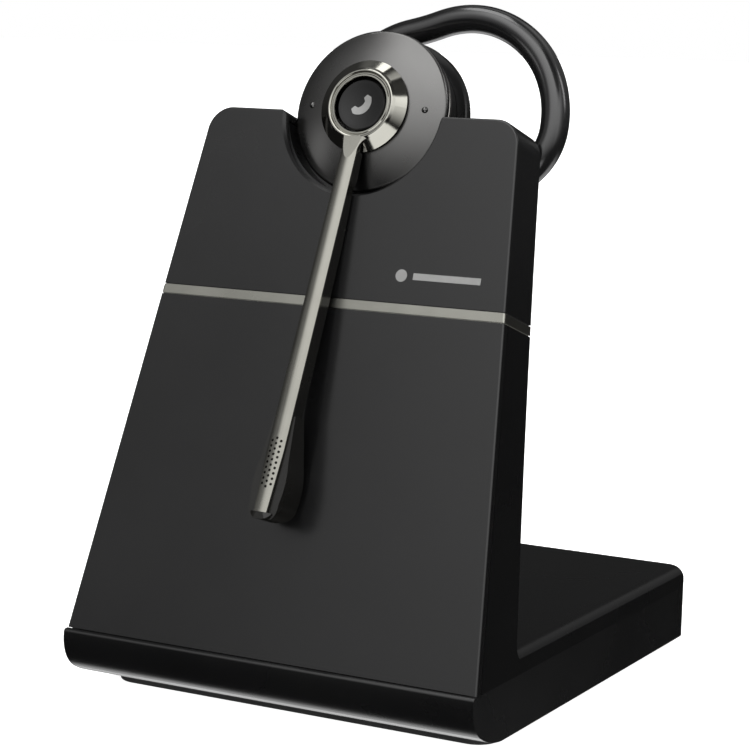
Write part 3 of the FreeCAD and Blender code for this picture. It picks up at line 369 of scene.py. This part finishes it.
# --------------------------------------------------- contacts in the jacks
def jack_contacts():
    bm = bmesh.new()
    for centre in (-22.5, -9.5):
        for k in range(6):
            x = centre + (k - 2.5) * 1.02
            path = [(46.4, 8.0), (46.4, 12.6), (46.9, 13.1), (48.2, 13.15), (52.6, 10.9), (53.1, 10.95), (53.3, 11.3)]
            w = 0.17
            for (y0, z0), (y1, z1) in zip(path, path[1:]):
                d = Vector((y1 - y0, z1 - z0)).normalized() * 0.17
                n = (-d.y, d.x)
                vs = [bm.verts.new(mm(x + sx * w, y + sn * n[0], z + sn * n[1])) for (y, z) in ((y0 - d.x * 0.4, z0 - d.y * 0.4), (y1 + d.x * 0.4, z1 + d.y * 0.4)) for sx in (-1, 1) for sn in (-1, 1)]
                for face in ((0, 1, 3, 2), (4, 6, 7, 5), (0, 4, 5, 1), (2, 3, 7, 6), (0, 2, 6, 4), (1, 5, 7, 3)):
                    bm.faces.new([vs[i] for i in face])
    bmesh.ops.recalc_face_normals(bm, faces=bm.faces)
    mesh = bpy.data.meshes.new("jack_contacts")
    bm.to_mesh(mesh)
    bm.free()
    o = bpy.data.objects.new("jack_contacts", mesh)
    scene.collection.objects.link(o)
    o.data.materials.append(M["brass"])
    return o


contacts = jack_contacts()
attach(contacts, "stand")

# ------------------------------------------------------------ stage, light
floor_mesh = bpy.data.meshes.new("floor")
bm = bmesh.new()
for x, y in ((-9, -9), (9, -9), (9, 9), (-9, 9)):
    bm.verts.new((x, y, 0))
bm.verts.ensure_lookup_table()
bm.faces.new(bm.verts[:])
bm.to_mesh(floor_mesh)
bm.free()
floor = bpy.data.objects.new("floor", floor_mesh)
scene.collection.objects.link(floor)
floor_mat = Mat("floor", (0.8, 0.8, 0.8), 0.9, spec=0.0)
floor_mat.mottle(3.0, 0.01)
floor_mat.b.inputs["Emission Color"].default_value = (1, 1, 1, 1)
floor_mat.b.inputs["Emission Strength"].default_value = 0.97
# seen from underneath the floor lets the underside of the stand show
side_of = floor_mat.node("ShaderNodeNewGeometry")
clear = floor_mat.node("ShaderNodeBsdfTransparent")
choose = floor_mat.node("ShaderNodeMixShader")
floor_mat.link(side_of.outputs["Backfacing"], choose.inputs[0])
floor_mat.link(floor_mat.b.outputs[0], choose.inputs[1])
floor_mat.link(clear.outputs[0], choose.inputs[2])
floor_mat.link(choose.outputs[0], floor_mat.out.inputs[0])
floor.data.materials.append(floor_mat.m)
floor.location.z = -0.0001
floor.visible_glossy = False

world = bpy.data.worlds.new("studio")
scene.world = world
world.use_nodes = True
wt = world.node_tree
wt.nodes.clear()


def wmath(op, a, b=None, c=None):
    n = wt.nodes.new("ShaderNodeMath")
    n.operation = op
    for k, v in enumerate((a, b, c)):
        if v is None:
            continue
        if isinstance(v, (int, float)):
            n.inputs[k].default_value = v
        else:
            wt.links.new(v, n.inputs[k])
    return n.outputs[0]


def wstep(value, lo, hi, out_lo, out_hi):
    """A smooth step from out_lo at lo to out_hi at hi."""
    n = wt.nodes.new("ShaderNodeMapRange")
    n.interpolation_type = "SMOOTHSTEP"
    wt.links.new(value, n.inputs["Value"])
    for key, v in (("From Min", lo), ("From Max", hi), ("To Min", out_lo), ("To Max", out_hi)):
        n.inputs[key].default_value = v
    return n.outputs["Result"]


wdir = wt.nodes.new("ShaderNodeSeparateXYZ")
wt.links.new(wt.nodes.new("ShaderNodeTexCoord").outputs["Generated"], wdir.inputs[0])
DX, DY, DZ = wdir.outputs
# angle to the left of the front, in degrees: 0 front, 90 left, -90 right
LEFT = wmath("MULTIPLY", wmath("ARCTAN2", wmath("MULTIPLY", DX, -1.0), wmath("MULTIPLY", DY, -1.0)), 57.2958)
HIGH_LEFT = wmath("SUBTRACT", LEFT, wmath("MULTIPLY", wmath("MAXIMUM", wmath("SUBTRACT", DZ, 0.44), 0.0), 55.0))
left_edge = wstep(HIGH_LEFT, SOFT["edge_out"], SOFT["edge_in"], SOFT["edge_low"], 1.0)
right_edge = wstep(LEFT, -100.0, -55.0, 0.12, 1.0)
side = wmath("MULTIPLY", left_edge, right_edge)
rise = wmath("MULTIPLY", wmath("MAXIMUM", wmath("ADD", DZ, 0.03), 0.0), SOFT["rise"])
front = wmath("MULTIPLY", wmath("MULTIPLY", side, rise), wstep(LEFT, 56.0, 88.0, 1.0, 0.1))
front = wmath("MULTIPLY", front, wstep(DZ, 0.985, 0.88, 0.3, 1.0))


def spot(direction, inner, outer, value):
    """A soft-edged round patch, in degrees about a direction."""
    d = Vector(direction).normalized()
    dot = wmath("ADD", wmath("ADD", wmath("MULTIPLY", DX, d.x), wmath("MULTIPLY", DY, d.y)), wmath("MULTIPLY", DZ, d.z))
    return wstep(dot, math.cos(math.radians(outer)), math.cos(math.radians(inner)), 0.0, value)


front = wmath("MULTIPLY", front, wmath("SUBTRACT", 1.0, spot((0.46, -0.24, 0.85), 14.0, 18.0, 0.98)))
streak = wmath("MULTIPLY", wmath("MULTIPLY", wstep(LEFT, 45.0, 50.0, 0.0, 1.0), wstep(LEFT, 60.0, 55.0, 0.0, 1.0)),
               wmath("MULTIPLY", wstep(DZ, -0.05, 0.05, 0.0, SOFT["streak"]), wstep(DZ, 0.33, 0.22, 0.0, 1.0)))
strip = wmath("MULTIPLY", wmath("MULTIPLY", wstep(LEFT, -51.0, -54.0, 0.0, 1.0), wstep(LEFT, -64.0, -60.0, 0.0, 1.0)),
              wmath("MULTIPLY", wstep(DZ, 0.02, 0.14, 0.0, SOFT["strip"]), wstep(DZ, 0.62, 0.5, 0.0, 1.0)))
rear_mask = wstep(DY, 0.15, 0.5, 0.0, 1.0)
rear = wmath("MULTIPLY", rear_mask, wmath("ADD", wstep(DZ, 0.66, 0.88, 0.0, 0.6), wstep(DZ, -0.3, -0.6, 0.0, 1.7)))
below = wstep(DZ, -0.12, 0.02, SOFT["below"], SOFT["base"])
total = wmath("ADD", wmath("ADD", front, rear), wmath("ADD", wmath("ADD", strip, streak), below))
line = wmath("MULTIPLY", wmath("MULTIPLY", wstep(LEFT, -104.0, -108.0, 0.0, 1.0), wstep(LEFT, -120.0, -115.0, 0.0, 1.0)),
             wmath("MULTIPLY", wstep(DZ, 0.34, 0.44, 0.0, 5.0), wstep(DZ, 0.8, 0.7, 0.0, 1.0)))
total = wmath("ADD", total, line)
total = wmath("ADD", total, spot((0.36, -0.82, -0.42), 21.0, 24.0, SOFT["patch"]))
path = wt.nodes.new("ShaderNodeLightPath")
level = wt.nodes.new("ShaderNodeMix")
level.data_type = "FLOAT"
wt.links.new(path.outputs["Is Camera Ray"], level.inputs["Factor"])
wt.links.new(total, level.inputs["A"])
level.inputs["B"].default_value = 1.0
wbg = wt.nodes.new("ShaderNodeBackground")
wbg.inputs[0].default_value = (1.0, 1.0, 1.0, 1)
wt.links.new(level.outputs["Result"], wbg.inputs[1])
wout = wt.nodes.new("ShaderNodeOutputWorld")
wt.links.new(wbg.outputs[0], wout.inputs[0])


def area(name, place, target, size, power, size_y=None, color=(1, 1, 1)):
    data = bpy.data.lights.new(name, "AREA")
    data.shape = "RECTANGLE"
    data.size = size
    data.size_y = size_y or size
    data.energy = power
    data.color = color
    o = bpy.data.objects.new(name, data)
    scene.collection.objects.link(o)
    o.location = place
    d = Vector(target) - Vector(place)
    o.rotation_euler = d.to_track_quat("-Z", "Y").to_euler()
    return o


area("top", (-0.33, -0.03, 1.3), (0, 0, 0.07), 0.5, 3.2)

scene.view_settings.view_transform = "Standard"
scene.view_settings.look = "None"
